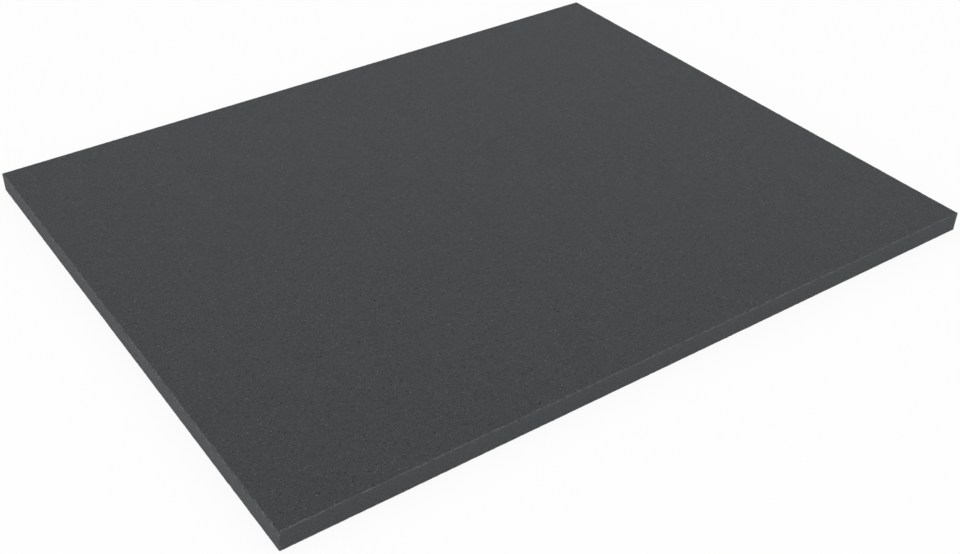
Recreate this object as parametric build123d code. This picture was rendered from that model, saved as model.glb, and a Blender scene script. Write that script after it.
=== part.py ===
"""Foam tray insert: one flat sheet of soft open-cell foam, cut square to lie on a tray's floor."""

import os

from build123d import *

# Driving dimensions, in millimetres
sheet_length = 386.0  # along X, the longer pair of cut edges
sheet_width = 304.0  # along Y, the shorter pair of cut edges
sheet_thickness = 10.0  # along Z, the thickness that the foam block is split to
arris_radius = 0.5  # how far the soft foam rounds over where two cut faces meet

# The rounding can't take more than this share of the thinnest way through the sheet
arris_limit_share = 0.4

parts_folder = "parts"


def cut_outline():
    """The rectangle that the blade cuts, centred on the origin."""
    return Rectangle(sheet_length, sheet_width)


def split_sheet():
    """The sharp-edged sheet, standing on the plane of its underside."""
    return extrude(cut_outline(), amount=sheet_thickness)


def soften_arrises(sheet):
    """The sheet with all twelve arrises rounded over, as soft foam leaves the blade."""
    thinnest = min(sheet_length, sheet_width, sheet_thickness)
    radius = min(arris_radius, arris_limit_share * thinnest)
    return fillet(sheet.edges(), radius=radius)


def main():
    os.makedirs(parts_folder, exist_ok=True)
    foam_sheet = soften_arrises(split_sheet())
    export_step(foam_sheet, os.path.join(parts_folder, "foam_sheet.step"))


main()
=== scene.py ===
"""Foam tray insert: one flat sheet of dark grey open-cell foam, lying on a white studio floor."""

import math
import random

import bmesh
import bpy
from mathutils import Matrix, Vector


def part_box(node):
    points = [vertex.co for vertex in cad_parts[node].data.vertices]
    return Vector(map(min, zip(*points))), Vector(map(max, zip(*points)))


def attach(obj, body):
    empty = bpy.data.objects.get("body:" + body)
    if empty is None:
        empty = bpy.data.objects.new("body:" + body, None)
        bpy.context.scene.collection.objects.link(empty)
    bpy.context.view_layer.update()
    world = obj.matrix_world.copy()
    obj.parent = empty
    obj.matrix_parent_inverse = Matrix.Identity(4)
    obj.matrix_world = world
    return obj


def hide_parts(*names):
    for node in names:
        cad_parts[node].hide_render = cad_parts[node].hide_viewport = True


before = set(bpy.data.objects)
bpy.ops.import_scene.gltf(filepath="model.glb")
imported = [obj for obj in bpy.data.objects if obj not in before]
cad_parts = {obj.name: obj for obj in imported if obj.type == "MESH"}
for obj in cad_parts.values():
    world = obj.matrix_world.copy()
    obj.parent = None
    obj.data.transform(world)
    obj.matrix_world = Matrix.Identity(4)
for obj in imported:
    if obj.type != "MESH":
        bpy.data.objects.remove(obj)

MM = 0.001

# The blank that the foam is modelled from, in metres
sheet_low, sheet_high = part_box("foam_sheet")
sheet_size = sheet_high - sheet_low
sheet_middle = (sheet_low + sheet_high) / 2
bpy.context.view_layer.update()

# The grid that the blank is drawn on
grid_pitch = 4.8 * MM
face_shake = 1.4 * MM  # how far the flat faces' points are shaken, so that no row of pores lines up
wall_shake = 0.5 * MM  # the same for the walls' points
shake_seed = 11
touch = 0.01 * MM  # two places nearer than this count as one
order_base = 100000  # more steps of that size than the sheet is long

# Lines scored round the blank beside every arris, and others round its walls at shares of their height
score_reaches = (0.6 * MM, 1.4 * MM, 2.5 * MM)
wall_line_shares = (0.34, 0.5, 0.66)
fine_reach = 1.6 * MM  # lines nearer to an arris than this are divided finely along it
fine_cuts = 7
wall_cuts = 3

# Cut-open pores: radius, depth, share of the flat faces' points that carry one, and seed of the choice
face_pores = (
    (0.26 * MM, 0.25 * MM, 0.11, 21),
    (0.32 * MM, 0.28 * MM, 0.05, 22),
    (0.40 * MM, 0.32 * MM, 0.012, 23),
)
wall_pore_share = 0.2  # how much rarer they are at the walls' points, which lie closer together
pore_rim_share = 0.25  # the pore's sloping lip as a share of its radius
pore_segments = 2
pore_profile = 0.12  # bows the pore's outline out to a rough circle
pore_clear = 2.6 * MM  # how far pores stay from an arris
pore_room_share = 2.6  # the least gap to the next point, as a share of the pore's radius

# Softened and frayed arrises
corner_radius = 0.5 * MM  # the four upright corners
arris_radius = 0.25 * MM  # the rims of the two flat faces
arris_segments = 3
wall_tilt = 0.5  # a face whose normal rises less than this is a wall
fray_reach = 0.7 * MM  # how far from the arris the blade's raggedness reaches
fray_length = 1.8 * MM  # how soon one nick follows another
fray_detail = 2
fray_depth = 0.22 * MM
fray_level = 0.45  # the ripple's height that leaves the arris where it is
many_sides = 5  # faces with as many sides or more are split into triangles
smooth_angle = math.radians(35)

map_name = "OFBake"  # the name of the sheet's own map for baked pictures
map_gap = 3 * MM  # bare room round each part of the map


def deselect_all():
    bpy.ops.object.select_all(action="DESELECT")


def edit_selection(kind, choose):
    """Selects the points, edges or faces of the mesh in edit mode that choose() accepts."""
    bpy.ops.mesh.select_mode(type=kind)
    mesh = bmesh.from_edit_mesh(bpy.context.object.data)
    parts = {"VERT": mesh.verts, "EDGE": mesh.edges, "FACE": mesh.faces}[kind]
    chosen = [part for part in parts if choose(part)]
    bpy.ops.mesh.select_all(action="DESELECT")
    for part in chosen:
        part.select_set(True)
    mesh.select_flush_mode()
    bmesh.update_edit_mesh(bpy.context.object.data)


def face_gaps(place):
    """How far a place lies from the nearer face of the blank along each axis."""
    return [sheet_size[axis] / 2 - abs(place[axis] - sheet_middle[axis]) for axis in range(3)]


def arris_gap(place):
    """How far a place on the blank's skin lies from the nearest arris."""
    return sorted(face_gaps(place))[1]


def on_wall(place):
    """True on the four cut edges of the sheet."""
    return min(face_gaps(place)[:2]) < touch


def place_number(point):
    """One number for a point's place, counted in steps of the touching distance."""
    column, row, layer = (round(length / touch) for length in point.co - sheet_low)
    return (layer * order_base + row) * order_base + column


def settle_order():
    """Puts the points in the order of their places, so that random numbers fall alike in every run."""
    mesh = bmesh.from_edit_mesh(bpy.context.object.data)
    mesh.verts.sort(key=place_number)
    bmesh.update_edit_mesh(bpy.context.object.data)


def shake(choose, axis, level, reach):
    """Moves the chosen points about at random within the flat face that they lie on."""
    settle_order()
    edit_selection("VERT", choose)
    bpy.ops.transform.vertex_random(offset=reach, uniform=0.0, normal=0.0, seed=shake_seed)
    flatten = [1, 1, 1]
    flatten[axis] = 0
    spot = Vector(sheet_middle)
    spot[axis] = level
    bpy.ops.transform.resize(value=flatten, center_override=spot)


def draw_blank():
    """The sheet drawn as a shaken grid on the floor and pulled up to its thickness."""
    deselect_all()
    bpy.ops.mesh.primitive_grid_add(
        x_subdivisions=round(sheet_size.x / grid_pitch),
        y_subdivisions=round(sheet_size.y / grid_pitch),
        size=1,
        location=(sheet_middle.x, sheet_middle.y, sheet_low.z),
    )
    sheet = bpy.context.object
    sheet.name = "cut_foam"
    sheet.data.name = "cut_foam"
    sheet.scale = (sheet_size.x, sheet_size.y, 1)
    bpy.ops.object.transform_apply(location=True, rotation=True, scale=True)
    bpy.ops.object.mode_set(mode="EDIT")
    shake(lambda point: not point.is_boundary, 2, sheet_low.z, face_shake)
    bpy.ops.mesh.select_all(action="SELECT")
    bpy.ops.mesh.extrude_region_move(TRANSFORM_OT_translate={"value": (0, 0, sheet_size.z)})
    return sheet


def score_line(axis, place):
    """Cuts one line right round the blank, square to an axis."""
    spot = Vector(sheet_middle)
    spot[axis] = place
    normal = Vector((0, 0, 0))
    normal[axis] = 1
    bpy.ops.mesh.select_all(action="SELECT")
    bpy.ops.mesh.bisect(plane_co=spot, plane_no=normal)


def score_rims():
    """Lines beside every arris, and a few along the walls."""
    for reach in score_reaches:
        for axis in range(3):
            score_line(axis, sheet_low[axis] + reach)
            score_line(axis, sheet_high[axis] - reach)
    for share in wall_line_shares:
        score_line(2, sheet_low.z + share * sheet_size.z)


def along_rim(edge, near, far):
    """True for a grid edge that runs along an arris, from near to far of it."""
    start, end = edge.verts
    along = end.co - start.co
    middle = (start.co + end.co) / 2
    gaps = face_gaps(middle)
    across = 0 if gaps[0] < gaps[1] else 1
    level = abs(along.z) < touch and abs(along[across]) < touch
    reach = gaps[2] if on_wall(middle) else gaps[across]
    return level and along.length > grid_pitch / 2 and near <= reach < far


def beside_arris(edge):
    return along_rim(edge, 0, fine_reach)


def along_wall(edge):
    return on_wall(edge.verts[0].co) and along_rim(edge, fine_reach, sheet_size.z)


def divide_rims():
    """Short steps along each arris, fine enough for the ragged cut, and longer ones along the walls."""
    edit_selection("EDGE", beside_arris)
    bpy.ops.mesh.subdivide(number_cuts=fine_cuts)
    edit_selection("EDGE", along_wall)
    bpy.ops.mesh.subdivide(number_cuts=wall_cuts)
    for axis in (0, 1):
        for level in (sheet_low[axis], sheet_high[axis]):
            shake(
                lambda point: abs(point.co[axis] - level) < touch and arris_gap(point.co) > fine_reach,
                axis,
                level,
                wall_shake,
            )


def open_pores(radius, depth, share, seed):
    """Sinks a cut-open cell at a share of the points of the flat faces and the walls."""
    draw = random.Random(seed)

    def carries_pore(point):
        if arris_gap(point.co) < pore_clear or len(point.link_edges) != 4:
            return False
        room = min(edge.calc_length() for edge in point.link_edges)
        chance = share * wall_pore_share if on_wall(point.co) else share
        return room > radius * pore_room_share and draw.random() < chance

    settle_order()
    edit_selection("VERT", carries_pore)
    bpy.ops.mesh.bevel(offset=radius, segments=pore_segments, profile=pore_profile, affect="VERTICES")
    edit_selection("FACE", lambda face: face.select and face.calc_area() < radius * radius)
    bpy.ops.mesh.inset(thickness=radius * pore_rim_share, depth=-depth)


def upright_corner(edge):
    """True for an edge that runs down one of the four corners."""
    return all(max(face_gaps(point.co)[:2]) < touch for point in edge.verts)


def rim(edge):
    """True for an edge between a flat face and a wall or a rounded corner."""
    beside = max(arris_gap(point.co) for point in edge.verts) < corner_radius
    tilts = sorted(abs(face.normal.z) for face in edge.link_faces)
    return beside and tilts[0] < wall_tilt < tilts[-1]


def soften_arrises():
    """Rounds over the upright corners and then the rims, as soft foam leaves the blade."""
    edit_selection("EDGE", upright_corner)
    bpy.ops.mesh.bevel(offset=corner_radius, segments=arris_segments, affect="EDGES")
    edit_selection("EDGE", rim)
    bpy.ops.mesh.bevel(offset=arris_radius, segments=arris_segments, affect="EDGES")


def fray_arrises(sheet):
    """Shallow nicks and waves that the blade leaves along the arrises."""
    edit_selection("VERT", lambda point: arris_gap(point.co) < fray_reach)
    bpy.ops.object.vertex_group_assign_new()
    bpy.ops.object.mode_set(mode="OBJECT")
    ripple = bpy.data.textures.new("ragged_cut", "CLOUDS")
    ripple.noise_scale = fray_length
    ripple.noise_depth = fray_detail
    fray = sheet.modifiers.new("fray", "DISPLACE")
    fray.texture = ripple
    fray.texture_coords = "LOCAL"
    fray.vertex_group = sheet.vertex_groups[0].name
    fray.strength = fray_depth
    fray.mid_level = fray_level
    bpy.ops.object.modifier_apply(modifier=fray.name)
    bpy.ops.object.vertex_group_remove(all=True)


def split_many_sided(sheet):
    """Divides the faces of many sides into well-shaped triangles."""
    split = sheet.modifiers.new("split", "TRIANGULATE")
    split.ngon_method = "BEAUTY"
    split.min_vertices = many_sides
    bpy.ops.object.modifier_apply(modifier=split.name)


def lay_map(sheet):
    """The sheet's own map: top and underside share a rectangle, and the walls are strips above it."""
    strip = sheet_size.z + map_gap
    wide = sheet_size.x + 2 * map_gap
    high = sheet_size.y + 4 * strip + 2 * map_gap
    mesh = sheet.data
    layer = mesh.uv_layers.new(name=map_name)
    for face in mesh.polygons:
        gaps = face_gaps(face.center)
        axis = gaps.index(min(gaps))
        side = 2 * axis + int(face.center[axis] > sheet_middle[axis])
        for corner in face.loop_indices:
            place = mesh.vertices[mesh.loops[corner].vertex_index].co - sheet_low
            across = place.y if axis == 0 else place.x
            up = place.y if axis == 2 else sheet_size.y + map_gap + side * strip + place.z
            layer.uv[corner].vector = ((across + map_gap) / wide, (up + map_gap) / high)


def model_foam():
    """The foam sheet as one closed mesh."""
    sheet = draw_blank()
    score_rims()
    divide_rims()
    for pore in face_pores:
        open_pores(*pore)
    soften_arrises()
    bpy.ops.mesh.select_all(action="SELECT")
    bpy.ops.mesh.normals_make_consistent(inside=False)
    fray_arrises(sheet)
    split_many_sided(sheet)
    bpy.ops.object.shade_smooth_by_angle(angle=smooth_angle)
    lay_map(sheet)
    return sheet


class Wire:
    """One output of a node, which sums and products can be written with."""

    def __init__(self, sketch, socket):
        self.sketch = sketch
        self.socket = socket

    def out(self, name):
        """Another output of the same node."""
        return Wire(self.sketch, self.socket.node.outputs[name])

    def math(self, operation, *values):
        return self.sketch.node("ShaderNodeMath", {"operation": operation}, dict(enumerate(values)))

    def __add__(self, other):
        return self.math("ADD", self, other)

    def __sub__(self, other):
        return self.math("SUBTRACT", self, other)

    def __rsub__(self, other):
        return self.math("SUBTRACT", other, self)

    def __mul__(self, other):
        return self.math("MULTIPLY", self, other)

    def __abs__(self):
        return self.math("ABSOLUTE", self)

    def sine(self):
        return self.math("SINE", self)

    def least(self, other):
        return self.math("MINIMUM", self, other)

    def most(self, other):
        return self.math("MAXIMUM", self, other)

    __radd__ = __add__
    __rmul__ = __mul__


class Sketch:
    """A node tree that is written one node at a time."""

    def __init__(self, owner):
        owner.use_nodes = True
        self.tree = owner.node_tree
        self.tree.nodes.clear()

    def node(self, kind, settings=None, inputs=None):
        """A node of a kind, with its settings made first and then its sockets set or linked."""
        made = self.tree.nodes.new(kind)
        for name, value in (settings or {}).items():
            setattr(made, name, value)
        for name, value in (inputs or {}).items():
            if isinstance(value, Wire):
                self.tree.links.new(value.socket, made.inputs[name])
            else:
                made.inputs[name].default_value = value
        return Wire(self, made.outputs[0]) if made.outputs else None

    def fade(self, value, start, end):
        """1 where a value is at start or before it, easing to 0 at end."""
        return self.node(
            "ShaderNodeMapRange",
            {"interpolation_type": "SMOOTHSTEP"},
            {"Value": value, "From Min": start, "From Max": end, "To Min": 1.0, "To Max": 0.0},
        )

    def drift(self, place, length, detail):
        """A number that drifts to either side of 0, by half at most, over about that length."""
        inputs = {"Vector": place, "Scale": 1 / length, "Detail": detail}
        return self.node("ShaderNodeTexNoise", None, inputs) - 0.5

    def mix_colour(self, factor, first, second):
        """The first colour at factor 0, the second at factor 1."""
        settings = {"data_type": "RGBA"}
        return self.node("ShaderNodeMix", settings, {0: factor, 6: first, 7: second}).out(2)

    def seen_rays(self):
        """1 for what the camera sees, also by reflection or through glass, and 0 for other light."""
        path = self.node("ShaderNodeLightPath")
        seen = path.out("Is Camera Ray").most(path.out("Is Glossy Ray"))
        return seen.most(path.out("Is Transmission Ray"))


# The foam's cells
pore_shade = (0.0122, 0.0133, 0.0143, 1.0)
strut_shade = (0.0882, 0.0958, 0.1030, 1.0)
small_cell = 0.5 * MM
large_cell = 1.15 * MM
cell_lean = 1.0 * MM  # how far the cells lean to and fro up the walls
strut_core_share = 0.04  # half of a strut's width as a share of its cell, where it is palest
strut_fade_share = 0.30  # and where it has faded into the cell

# Tones, from 0 for the pore shade to 1 for the strut shade
cell_tone = 0.24
strut_tone = 0.27  # how much paler a strut is than its cell
swing_tone = 0.06  # how far any small cell may differ from its neighbours
odd_tone = 0.09  # how much further the odd small cell differs
lone_tone = 0.42  # how far a lone large cell differs
lone_lift = 0.08  # makes lone cells pale more often than dark
lone_strut_share = 1.3  # how strongly a lone cell fades towards its struts
mottle_tone = 0.08
mottle_length = 14 * MM  # slow drift of the foam's tone
mottle_detail = 3.0

# The walls' cells differ less from each other
wall_calm = 0.6
wall_skin = 0.1 * MM  # how far in from a wall's face that holds fully
wall_skin_end = 0.4 * MM  # and how far in it ends

# The paler band along the cut arrises: partly real nap, partly a painted highlight where light catches
# the arrises
nap_and_highlight_shade = (0.1290, 0.1355, 0.1410, 1.0)
nap_and_highlight_reach = 0.38 * MM  # how far down a wall it thins out to nothing
end_nap_and_highlight = 0.41 * MM  # its full width on the flat faces along the two ends, widened as painted highlight where the low light from the left catches the arris
end_spread = 0.75  # how fast it thins out beyond that, as a share of how fast it does down a wall
side_nap_and_highlight = 0.1 * MM  # its full width on the flat faces along the two long sides
side_spread = 0.55  # how fast it thins out beyond that, as such a share
corner_nap_and_highlight = 0.12 * MM  # how much narrower it is on the upright corners
corner_spread = 0.4  # how fast it thins out from them along the long walls, as such a share
foot_nap_and_highlight = 0.45 * MM  # its full width up the walls from the underside, partly nap and partly a painted highlight of the floor's light on the lower arris
wander_length = 1.3 * MM  # how soon its width changes along an arris
wander_width = 0.7 * MM
stray_length = 2.2 * MM  # how soon it strays from one side of an arris to the other
stray_width = 1.0 * MM
bare_length = 4 * MM  # how soon napped and barer stretches follow each other
nap_and_highlight_detail = 2.0
napped_and_highlighted_level = -0.08  # stretches that drift below this level have the whole nap and highlight
bare_level = 0.12  # and those above this one are the barest
bare_strength = 0.5
napped_and_highlighted_strength = 0.33  # what a napped stretch adds
nap_and_highlight_cell_share = 0.36  # how much of the nap and highlight lies over the cells
nap_and_highlight_strut_share = 0.64  # what a strut adds

# The foam's surface
cell_roughness = 0.95
strut_gloss = 0.15
foam_specular = 0.25
foam_sheen = 0.07
foam_sheen_roughness = 0.5
bump_strength = 0.5
bump_height = 0.2 * MM


def foam_cells(sketch, place, size):
    """One layer of cells: 1 on the struts between them, and a number from -1 to 1 for each cell."""
    scatter = {"Vector": place, "Scale": 1 / size}
    strut_gap = sketch.node("ShaderNodeTexVoronoi", {"feature": "DISTANCE_TO_EDGE"}, scatter)
    tint = sketch.node("ShaderNodeTexVoronoi", {"feature": "F1"}, scatter).out("Color")
    level = sketch.node("ShaderNodeSeparateColor", None, {"Color": tint})
    return sketch.fade(strut_gap, strut_core_share, strut_fade_share), 2.0 * level - 1.0


def cubed(value):
    return value * value * value


def arris_nap_and_highlight(sketch, place, gap_x, gap_y, gap_z, rise):
    """How thick the nap and the painted highlight along the arrises are: wavering along each arris,
    straying across it, and bare in places.
    """
    from_end = (gap_x - end_nap_and_highlight).most(0.0)
    from_side = (gap_y - side_nap_and_highlight).most(0.0)
    from_foot = (rise + (sheet_size.z / 2 - foot_nap_and_highlight)).most(0.0)
    from_corner = corner_nap_and_highlight + (corner_spread * from_end).most(from_side)
    down_wall = from_corner.least(gap_z).least(from_foot)
    across = (end_spread * from_end).least(side_spread * from_side) - down_wall
    wander = sketch.drift(place, wander_length, nap_and_highlight_detail)
    stray = sketch.drift(place, stray_length, nap_and_highlight_detail)
    bare = sketch.drift(place, bare_length, nap_and_highlight_detail)
    from_arris = abs(across + stray_width * stray) + wander_width * wander
    strength = bare_strength + napped_and_highlighted_strength * sketch.fade(bare, napped_and_highlighted_level, bare_level)
    return strength * sketch.fade(from_arris, 0.0, nap_and_highlight_reach)


def foam_finish():
    """Open-cell foam: light struts round dark cells, and a paler nap with a painted highlight along the
    cut arrises.
    """
    material = bpy.data.materials.new("grey_foam_cells")
    sketch = Sketch(material)
    spot = sketch.node("ShaderNodeTexCoord").out("Object")
    spot = sketch.node("ShaderNodeSeparateXYZ", None, {"Vector": spot})
    across_x = spot.out("X")
    across_y = spot.out("Y")
    rise = spot.out("Z") - sheet_middle.z
    height = abs(rise)
    gap_x = sheet_size.x / 2 - abs(across_x - sheet_middle.x)
    gap_y = sheet_size.y / 2 - abs(across_y - sheet_middle.y)
    gap_z = sheet_size.z / 2 - height

    # The top and the underside have the same cells, so that they can share a map
    lean = cell_lean * (2 * math.pi / sheet_size.z * rise).sine()
    leaning = {"X": across_x + lean, "Y": across_y + lean, "Z": height}
    place = sketch.node("ShaderNodeCombineXYZ", None, leaning)

    strut, swing = foam_cells(sketch, place, small_cell)
    large_strut, large_swing = foam_cells(sketch, place, large_cell)
    lone_cells = cubed(large_swing + lone_lift) * (1.0 - lone_strut_share * large_strut)
    cell_swing = swing_tone * swing + odd_tone * cubed(swing) + lone_tone * lone_cells
    calm = 1.0 - wall_calm * sketch.fade(gap_x.least(gap_y), wall_skin, wall_skin_end)
    mottle = sketch.drift(place, mottle_length, mottle_detail)
    tone = cell_tone + strut_tone * strut + calm * cell_swing + mottle_tone * mottle
    cut_colour = sketch.mix_colour(tone, pore_shade, strut_shade)

    # Paler nap along the arrises, with a painted highlight where light catches them, laid over the
    # cells
    nap_and_highlight = arris_nap_and_highlight(sketch, place, gap_x, gap_y, gap_z, rise)
    nap_and_highlight_cover = nap_and_highlight * (nap_and_highlight_cell_share + nap_and_highlight_strut_share * strut)
    bump_inputs = {"Strength": bump_strength, "Distance": bump_height, "Height": strut}
    shader = sketch.node(
        "ShaderNodeBsdfPrincipled",
        None,
        {
            "Base Color": sketch.mix_colour(nap_and_highlight_cover, cut_colour, nap_and_highlight_shade),
            "Roughness": cell_roughness - strut_gloss * strut,
            "Specular IOR Level": foam_specular,
            "Sheen Weight": foam_sheen,
            "Sheen Roughness": foam_sheen_roughness,
            "Normal": sketch.node("ShaderNodeBump", None, bump_inputs),
        },
    )
    sketch.node("ShaderNodeOutputMaterial", None, {"Surface": shader})
    return material


floor_width = 12.0
floor_colour = (0.97, 0.97, 0.97, 1.0)
floor_glow = 0.9  # how much of the floor that the camera sees is plain white, the rest being lit paper


def floor_finish():
    """White paper that the camera sees as white, and that keeps the sheet's shadow."""
    material = bpy.data.materials.new("white_paper")
    sketch = Sketch(material)
    paper = sketch.node("ShaderNodeBsdfDiffuse", None, {"Color": floor_colour})
    glow = sketch.node("ShaderNodeEmission", None, {"Strength": 1.0})
    white_share = floor_glow * sketch.seen_rays()
    both = sketch.node("ShaderNodeMixShader", None, {0: white_share, 1: paper, 2: glow})
    sketch.node("ShaderNodeOutputMaterial", None, {"Surface": both})
    return material


def lay_floor():
    """A wide sheet of white paper under the foam."""
    deselect_all()
    bpy.ops.mesh.primitive_plane_add(size=floor_width, location=(0, 0, sheet_low.z))
    floor = bpy.context.object
    floor.name = "studio_floor"
    floor.data.materials.append(floor_finish())


def aim(thing, target, azimuth, elevation, distance):
    """Puts a lamp or the camera at a distance from its target, looking at it."""
    back = Vector(
        (
            math.sin(azimuth) * math.cos(elevation),
            -math.cos(azimuth) * math.cos(elevation),
            math.sin(elevation),
        )
    )
    thing.location = target + back * distance
    thing.rotation_mode = "QUATERNION"
    thing.rotation_quaternion = (-back).to_track_quat("-Z", "Y")
    bpy.context.scene.collection.objects.link(thing)


# A soft light low on the left, with its place round the sheet, and its size and distance in metres
softbox_azimuth = math.radians(-48)
softbox_elevation = math.radians(10)
softbox_distance = 1.4
softbox_width = 1.2
softbox_height = 0.5
softbox_watts = 4.5


def add_softbox():
    """The soft light, looking at the middle of the sheet."""
    data = bpy.data.lights.new("left_softbox", "AREA")
    data.shape = "RECTANGLE"
    data.size = softbox_width
    data.size_y = softbox_height
    data.energy = softbox_watts
    lamp = bpy.data.objects.new("left_softbox", data)
    aim(lamp, sheet_middle, softbox_azimuth, softbox_elevation, softbox_distance)


room_colour = (1.0, 1.0, 1.0, 1.0)
room_strength = 0.87
seen_strength = 0.985  # as white as the floor looks, so that no horizon shows


def light_studio():
    """An even pale room, and the soft light."""
    world = bpy.data.worlds.new("studio_room")
    bpy.context.scene.world = world
    sketch = Sketch(world)
    strength = room_strength + (seen_strength - room_strength) * sketch.seen_rays()
    room = sketch.node("ShaderNodeBackground", None, {"Color": room_colour, "Strength": strength})
    sketch.node("ShaderNodeOutputWorld", None, {"Surface": room})
    add_softbox()


# The photograph's camera
photo_lens = 49.0  # millimetres, on a sensor 36 mm wide
photo_azimuth = math.radians(-33.814)
photo_elevation = math.radians(36.092)
photo_distance = 611.5 * MM
photo_aim = Vector((-55.9 * MM, -50.8 * MM, sheet_high.z))
photo_shift_x = 0.0482


def place_camera():
    """The photograph's view."""
    data = bpy.data.cameras.new("photo_camera")
    data.lens = photo_lens
    data.shift_x = photo_shift_x
    camera = bpy.data.objects.new("photo_camera", data)
    aim(camera, photo_aim, photo_azimuth, photo_elevation, photo_distance)
    bpy.context.scene.camera = camera


place_camera()
foam = model_foam()
foam.data.materials.clear()
foam.data.materials.append(foam_finish())
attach(foam, "root")
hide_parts("foam_sheet")
lay_floor()
light_studio()
bpy.context.scene.view_settings.view_transform = "Standard"
